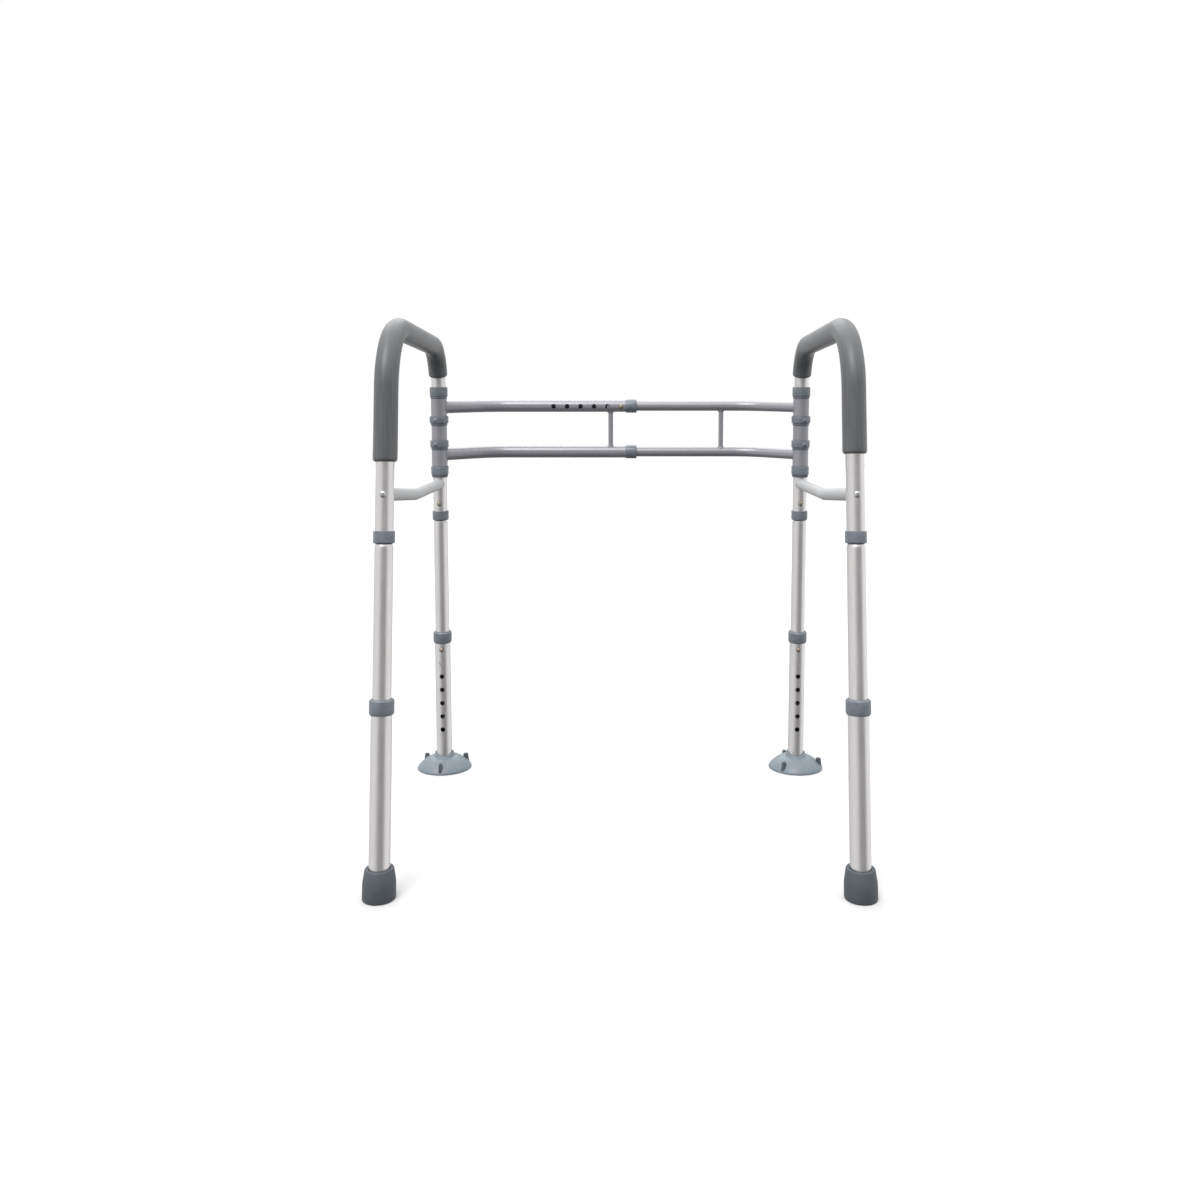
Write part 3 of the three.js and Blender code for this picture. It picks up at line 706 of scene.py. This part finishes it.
def makeRubberTip(side):
    d = tip
    tread = [(0, 2.2), (6, 2.2), (6, 0.6), (9, 0.6), (9, 2.2), (13, 2.2), (13, 0)]  # rings under the sole
    outside = [(d["outer"] - 2, 0), (d["outer"] - 0.6, 0.6), (d["outer"], 2), (d["outer"], d["flare"] - 2),
               (d["outer"] - 0.25, d["flare"] + 1.5), (d["top"] + 0.3, d["height"] - 1.4),
               (d["top"] - 0.2, d["height"] - 0.3), (d["top"] - 1.0, d["height"])]
    socket = [(d["bore"] + 0.7, d["height"]), (d["bore"], d["height"] - 0.8), (d["bore"], d["floor"]),
              (0, d["floor"])]
    bm = turned(tread + outside + socket, 80)
    soften(bm, 0.35, 2, 35)
    place(bm, side + "RubberTip", floorFrame(side, "front"), side + "_front_lower_leg", tipRubber,
          [side + "_rubber_tip"], 50)


def domeHeight(radius):
    # outer surface of the cup at a distance from its axis
    d = cup
    share = (radius - d["neck"]) / (d["rim"] - d["neck"])
    return d["edge"] + (d["dome"] - d["edge"]) * (1 - max(share, 0) ** d["bulge"]) + 0.4


def makeSuctionCup(side):
    d = cup
    under = [(0, 3.6), (16, 3.4), (30, 2.6), (40, 1.1), (d["rim"] - 4, 0.3), (d["rim"] - 1.2, 0)]
    lip = [(d["rim"] - 0.2, 0.5), (d["rim"], 1.4), (d["rim"] - 0.4, d["edge"])]
    wide, narrow, steps = d["rim"] - 1.5, d["neck"] + 1.5, 14
    radii = [wide + (narrow - wide) * i / steps for i in range(steps + 1)]
    dome = [(radius, domeHeight(radius)) for radius in radii]
    neck = [(d["neck"] + 0.4, d["dome"] + 1.2), (d["neck"], d["dome"] + 2.5),
            (d["neck"] - 0.2, d["height"] - 1.2), (d["neck"] - 0.8, d["height"] - 0.2),
            (d["neck"] - 1.4, d["height"]), (d["bore"] + 0.7, d["height"]), (d["bore"], d["height"] - 0.7),
            (d["bore"], d["dome"] - 4), (d["bore"], d["floor"]), (0, d["floor"])]
    bm = turned(under + lip + dome + neck, d["segments"])
    for vert in bm.verts:
        high = (vert.co.z - d["dome"] + 1) / (d["height"] - d["dome"] + 1)
        if high > 0 and vert.co.y < 0:
            vert.co.z += vert.co.y * math.tan(math.radians(d["scoop"])) * high
    place(bm, side + "SuctionCup", floorFrame(side, "rear"), side + "_rear_lower_leg", cupVinyl,
          [side + "_suction_cup"], 50)
    tabs = [makeTab(tab["turn"][side] + 360 / tab["count"] * i) for i in range(tab["count"])]
    # the tabs wear the darker copy of the cup's vinyl, which is painted shade
    place(joined(*tabs), side + "CupTabs", floorFrame(side, "rear"), side + "_rear_lower_leg", shadedTabVinyl,
          [], 50)


def makeTab(turn):
    # a rounded upright lug at the rim that a finger lifts to let the air in
    d = tab
    bm = bmesh.new()
    bmesh.ops.create_cube(bm, size=1.0)
    bmesh.ops.scale(bm, verts=bm.verts, vec=(d["out"], d["thick"], d["height"]))
    for vert in bm.verts:
        if vert.co.z > 0:
            vert.co.y *= 0.8
            vert.co.x = vert.co.x * 0.66 - 0.6
    bmesh.ops.bevel(bm, geom=bm.edges[:], offset=d["rounding"], offset_type="OFFSET", affect="EDGES",
                    segments=5, profile=0.5, material=-1, clamp_overlap=True)
    bm.transform(Matrix.Translation((d["reach"] - d["out"] / 2, 0, d["bottom"] + d["height"] / 2)))
    bm.transform(Matrix.Rotation(math.radians(turn), 4, "Z"))
    return bm


# rear ladder, heights up the posts
rail = {
    "back": 62, "angle": 36, "bend": 100, "top": 680.9, "lower": 593.9, "bendSteps": 20, "segments": 56,
    "start": 8,  # from the post's axis, before the end is coped onto the sleeve
}
outerRail = {"outer": 11.1, "inner": 9.9, "end": 27, "strut": -17.6}
innerRail = {"outer": 9.0, "inner": 7.6, "end": -24.5, "strut": 191.6}
sleeve = {
    "outer": 14.25, "bore": 12.85, "top": (665.2, 697.8), "lower": (573.2, 603.7), "weld": 1.5,
    "fixed": (621.2, 648.1), "fixedShare": 0.976,  # the one between the turning two is a little slimmer
}
strut = {"radius": 4.5, "weld": 1.7, "sink": 0.8}
railHoles = {"radius": 4.4, "first": 1.9, "pitch": 25.4, "count": 6}


def postAt(sign, height):
    return Vector((sign * abs(postFoot("left").x) / mm, 0, height))


def railSlope(sign):
    # the way a rail leaves its post, back and inwards
    angle = math.radians(rail["angle"])
    return Vector((-sign * math.cos(angle), math.sin(angle), 0))


def railRoute(sign, height, end):
    post, slope = postAt(sign, height), railSlope(sign)
    corners = [post + slope * rail["start"], post + slope * (rail["back"] / slope.y),
               Vector((end, rail["back"], height))]
    return makeRoute(corners, [rail["bend"]], (0, 0, 1), rail["bendSteps"])


def weldBead(radius, onRadius, bead):
    # a weld round a tube of one radius where it meets the side of a tube that lies across it
    ring = bmesh.new()
    upright = Matrix.Translation((radius, 0, 0)) @ Matrix.Rotation(math.pi / 2, 4, "X")
    bmesh.ops.create_circle(ring, cap_ends=False, segments=10, radius=bead, matrix=upright)
    bmesh.ops.spin(ring, geom=ring.verts[:] + ring.edges[:], cent=(0, 0, 0), axis=(0, 0, 1),
                   dvec=(0, 0, 0), angle=2 * math.pi, steps=48, use_merge=True)
    bmesh.ops.remove_doubles(ring, verts=ring.verts, dist=1e-4)
    bmesh.ops.recalc_face_normals(ring, faces=ring.faces)
    for vert in ring.verts:
        turn = math.atan2(vert.co.y, vert.co.x)
        wobble = 1 + 0.1 * math.sin(turn * 17)
        vert.co.z *= wobble
        vert.co.z += math.sqrt(onRadius ** 2 - (radius * math.cos(turn)) ** 2)
    return ring


def makeRail(sign, shape, height, drill):
    route = railRoute(sign, height, shape["end"])
    marks = stations(route, longest=12)
    bm = turned(tubeProfile(shape["outer"], shape["inner"], marks, 0.5), rail["segments"])
    if drill:
        # the section's X is up and its Y faces forward or back, by which way the rail runs
        facing = 0 if sign > 0 else math.pi
        count = railHoles["count"] if sign < 0 else 1
        spots = [railHoles["first"] - railHoles["pitch"] * i for i in range(count)]
        depth = [route["length"] - abs(shape["end"] - spot) for spot in spots]
        bm = drilled(bm, [cutterAcross(railHoles["radius"], d, facing, 12) for d in depth])
    layAlong(bm, route)
    cope(bm, postAt(sign, height), Vector((0, 0, 1)), sleeve["outer"] - 0.2, railSlope(sign))
    return bm


def makeStrut(shape):
    radius = strut["radius"]
    reach = shape["outer"] - strut["sink"]
    low, high = rail["lower"] + reach, rail["top"] - reach
    parts = [turned([(0, low), (radius, low), (radius, high), (0, high)], 36)]
    quarter = Matrix.Rotation(math.pi / 2, 4, "Z")  # the rails lie across, so the beads dip along Y
    for height, flip in ((rail["lower"], 0), (rail["top"], math.pi)):
        bead = weldBead(radius, shape["outer"], strut["weld"])
        bead.transform(Matrix.Translation((0, 0, height)) @ Matrix.Rotation(flip, 4, "X") @ quarter)
        parts.append(bead)
    bm = joined(*parts)
    bm.transform(Matrix.Translation((shape["strut"], rail["back"], 0)))
    return bm


def makeSleeve(span, x=0.0):
    marks = [span[0] + (span[1] - span[0]) * i / 4 for i in range(5)]
    bm = turned(tubeProfile(sleeve["outer"], sleeve["bore"], marks, 0.5), 64)
    bm.transform(Matrix.Translation((x, 0, 0)))
    return bm


def makeLadder(side, shape, node):
    sign = sides[side]
    x = postAt(sign, 0).x
    parts = [makeSleeve(sleeve["top"], x), makeSleeve(sleeve["lower"], x), makeStrut(shape)]
    way, up = railSlope(sign), Vector((0, 0, 1))
    alongRail = Matrix((way.cross(up), -up, way)).transposed().to_4x4()
    for height in (rail["top"], rail["lower"]):
        parts.append(makeRail(sign, shape, height, height == rail["top"]))
        bead = weldBead(shape["outer"], sleeve["outer"], sleeve["weld"])
        bead.transform(Matrix.Translation((x, 0, height)) @ alongRail)
        parts.append(bead)
    place(joined(*parts), side + "Ladder", ladderFrame(), node, railPaint, [node])


bush = {"left": 10.4, "right": 31.3, "outer": 12.6, "cone": 3.2, "edge": 0.3}


def alongLadder(across, height):
    # on a rail's axis, with Z to the right along it
    turn = Matrix.Rotation(math.pi / 2, 4, "Y")
    return ladderFrame() @ Matrix.Translation((across, rail["back"], height)) @ turn


def makeBush(name, height):
    d = bush
    bore, guide, step = outerRail["outer"] + snug, innerRail["outer"] + 0.15, outerRail["end"] + 0.1
    bm = turned([(bore, d["left"]), (bore + 0.5, d["left"]), (d["outer"], d["left"] + d["cone"]),
                 (d["outer"], d["right"] - 0.4), (d["outer"] - 0.4, d["right"]), (guide + 0.6, d["right"]),
                 (guide, d["right"] - 0.6), (guide, step), (bore, step)], 64)
    soften(bm, d["edge"])
    place(bm, name + "RailBush", alongLadder(0, height), "outer_ladder", nylon,
          [name + "_rail_bush"])


# collars on the rear posts
postCollars = [
    {"name": "top", "bottom": 697.9, "lip": 701, "top": 718.4, "outer": 16.1, "neck": 15.2},
    {"name": "upper", "bottom": 648.2, "lip": 652, "top": 665.1, "outer": 17.0, "neck": 15.0,
     "boss": 658},
    {"name": "lower", "bottom": 603.8, "lip": 607.4, "top": 621.1, "outer": 16.6, "neck": 14.9,
     "boss": 613.5},
    {"name": "bottom", "bottom": 552.7, "lip": 555.5, "top": 573.1, "outer": 15.9, "neck": 14.7,
     "rounding": 3.2},
]
boss = {"width": 12.5, "height": 10.5, "reach": 18.8, "turn": 17}  # degrees outward from the front


def makePostCollar(side, d):
    bore, rounding = sleeve["bore"], d.get("rounding", 1.2)
    neck = [(bore, d["bottom"]), (d["neck"] - 0.5, d["bottom"]), (d["neck"], d["bottom"] + 0.6),
            (d["neck"], d["lip"] - 0.2)]
    lip = [(d["outer"] - rounding * (1 - k), d["lip"] + 0.2 + rounding * (1 - math.sqrt(1 - k * k)))
           for k in (0, 0.4, 0.7, 0.9, 1)]
    top = [(d["outer"], d["top"] - 1.4), (d["outer"] - 0.4, d["top"] - 0.4), (d["outer"] - 1.4, d["top"]),
           (bore, d["top"])]
    bm = turned(neck + lip + top, 96)
    if "boss" in d:
        bm = joined(bm, makeBoss(side, d))
    body = "outer_ladder" if side == "left" else "inner_ladder"
    place(bm, side + d["name"].capitalize() + "PostCollar", postFrame(side), body, nylon,
          [f"{side}_{d['name']}_post_collar"], 50)


def makeBoss(side, d):
    # a pillow-shaped lug on the collar's front, wider at its foot
    bm = bmesh.new()
    bmesh.ops.create_uvsphere(bm, u_segments=32, v_segments=16, radius=1.0)
    deep = boss["reach"] - d["outer"] + 3
    bmesh.ops.scale(bm, verts=bm.verts, vec=(boss["width"] / 2, deep, boss["height"] / 2))
    for vert in bm.verts:
        vert.co.x *= 1 - 0.35 * vert.co.z / boss["height"]
    bm.transform(Matrix.Translation((0, -(boss["reach"] - deep), d["boss"])))
    bm.transform(Matrix.Rotation(math.radians(sides[side] * boss["turn"]), 4, "Z"))
    return bm


def makeSide(side):
    route = hoopRoute()
    makeHoopTube(side, route)
    makeGrip(side, route)
    makeBrace(side)
    makeSaddle(side)
    makeScrew(side, "front")
    makeScrew(side, "rear")
    bm = makeSleeve(sleeve["fixed"])
    bmesh.ops.scale(bm, verts=bm.verts, vec=(sleeve["fixedShare"], sleeve["fixedShare"], 1))
    place(bm, side + "PostSleeve", hoopFrame(side), side + "_side", railPaint,
          [side + "_post_sleeve"])
    for end, facing in (("front", math.pi), ("rear", 0.0)):
        makeMidLeg(side, end, facing)
        makeLowerLeg(side, end, facing)
        makeUpperCollar(side, end)
        makeLowerCollar(side, end)
        makeLegButtons(side, end, facing)
    makeRubberTip(side)
    makeSuctionCup(side)
    for collar in postCollars:
        makePostCollar(side, collar)
    print(side, "side made")


for side in sides:
    makeSide(side)
makeLadder("left", outerRail, "outer_ladder")
makeLadder("right", innerRail, "inner_ladder")
makeBush("upper", rail["top"])
makeBush("lower", rail["lower"])
place(buttonShape(railButton), "railSpringButton", alongLadder(railHoles["first"], rail["top"]),
      "rail_button", brass, ["rail_button"])
print("ladder made")

# floor, light and camera
studio = {
    "floorSize": 60,
    # soft suns: way they shine, angle across in degrees, strength
    "key": {"way": (0.3, 0.62, -0.9), "angle": 30, "power": 1.9},
    "rim": {"way": (0.2, -0.8, -0.7), "angle": 40, "power": 0.6},
    "sky": [  # a way to look, where its patch of light starts and is full, and how bright it is
        ((0, 0, 1), 0.32, 0.95, 1.5),
        ((-0.94, -0.25, 0.0), 0.4, 0.92, 0.45),
        ((0.95, 0.1, 0.0), 0.55, 0.95, 0.6),
        ((0.36, -0.93, -0.2), 0.74, 0.98, -0.2),
        ((0, 1, 0), 0.2, 0.75, 0.2),
        ((0, 0, -1), 0.35, 0.8, -0.45),
    ],
    "skyLevel": 0.64, "backdrop": 1.0,
}


def makeFloor():
    bm = bmesh.new()
    bmesh.ops.create_grid(bm, x_segments=1, y_segments=1, size=studio["floorSize"] / 2)
    floor = linkMesh(bm, "floor")
    floor.data.materials.append(makeFinish({  # plain pale paper, faintly mottled
        "name": "studioFloor", "colors": ("#bebebe", "#bfbfbf"), "colorBy": "mottle",
        "patterns": {"mottle": {"size": 40}}, "shader": {"Roughness": 0.9},
    }))
    floor.visible_diffuse = False  # the object is lit from below by the dim room, not by the floor
    floor.visible_glossy = False


def makeSun(name, d):
    light = bpy.data.lights.new(name, "SUN")
    light.angle = math.radians(d["angle"])
    light.energy = d["power"]
    lamp = bpy.data.objects.new(name, light)
    scene.collection.objects.link(lamp)
    lamp.rotation_euler = Vector(d["way"]).to_track_quat("-Z", "Y").to_euler()


def makeSky():
    # a pale room: brighter overhead, a softbox at each side, darker below and front right
    world = bpy.data.worlds.new("studioSky")
    scene.world = world
    world.use_nodes = True
    tree = world.node_tree
    tree.nodes.clear()
    way = addNode(tree, "ShaderNodeTexCoord").outputs["Generated"]
    level = studio["skyLevel"]
    for direction, start, full, amount in studio["sky"]:
        facing = addNode(tree, "ShaderNodeVectorMath", {"operation": "DOT_PRODUCT"}, {0: way, 1: direction})
        patch = addNode(tree, "ShaderNodeMapRange", {"interpolation_type": "SMOOTHSTEP"}, {
            "Value": facing.outputs["Value"], "From Min": start, "From Max": full,
            "To Min": 0.0, "To Max": amount})
        level = addNode(tree, "ShaderNodeMath", {"operation": "ADD"},
                        {0: patch.outputs["Result"], 1: level}).outputs["Value"]
    seen = addNode(tree, "ShaderNodeLightPath").outputs["Is Camera Ray"]  # it shows as a plain backdrop
    strength = addNode(tree, "ShaderNodeMix", None, {"Factor": seen, "A": level, "B": studio["backdrop"]})
    sky = addNode(tree, "ShaderNodeBackground", None,
                  {"Color": (1, 1, 1, 1), "Strength": strength.outputs["Result"]})
    addNode(tree, "ShaderNodeOutputWorld", None, {"Surface": sky.outputs["Background"]})


shot = {
    "height": 0.5997, "distance": 1.7851,  # metres above the floor, and in front of the posts at level
    "level": 0.6,
    "lens": 29.1, "sensor": 36.0,  # millimetres
    "shiftX": -0.016667, "shiftY": -0.124708,  # shares of the frame's width
}


def makeCamera():
    d = shot
    data = bpy.data.cameras.new("camera")
    data.sensor_width = d["sensor"]
    data.lens = d["lens"]
    data.shift_x = d["shiftX"]
    data.shift_y = d["shiftY"]
    camera = bpy.data.objects.new("camera", data)
    scene.collection.objects.link(camera)
    up = postUp("left")
    postY = postFoot("left").y + up.y / up.z * d["level"]
    camera.location = (0, postY - d["distance"], d["height"])
    camera.rotation_euler = (math.pi / 2, 0, 0)
    scene.camera = camera


makeFloor()
for sunName in ("key", "rim"):
    makeSun(sunName, studio[sunName])
makeSky()
makeCamera()
scene.view_settings.view_transform = "Standard"
print("studio made")
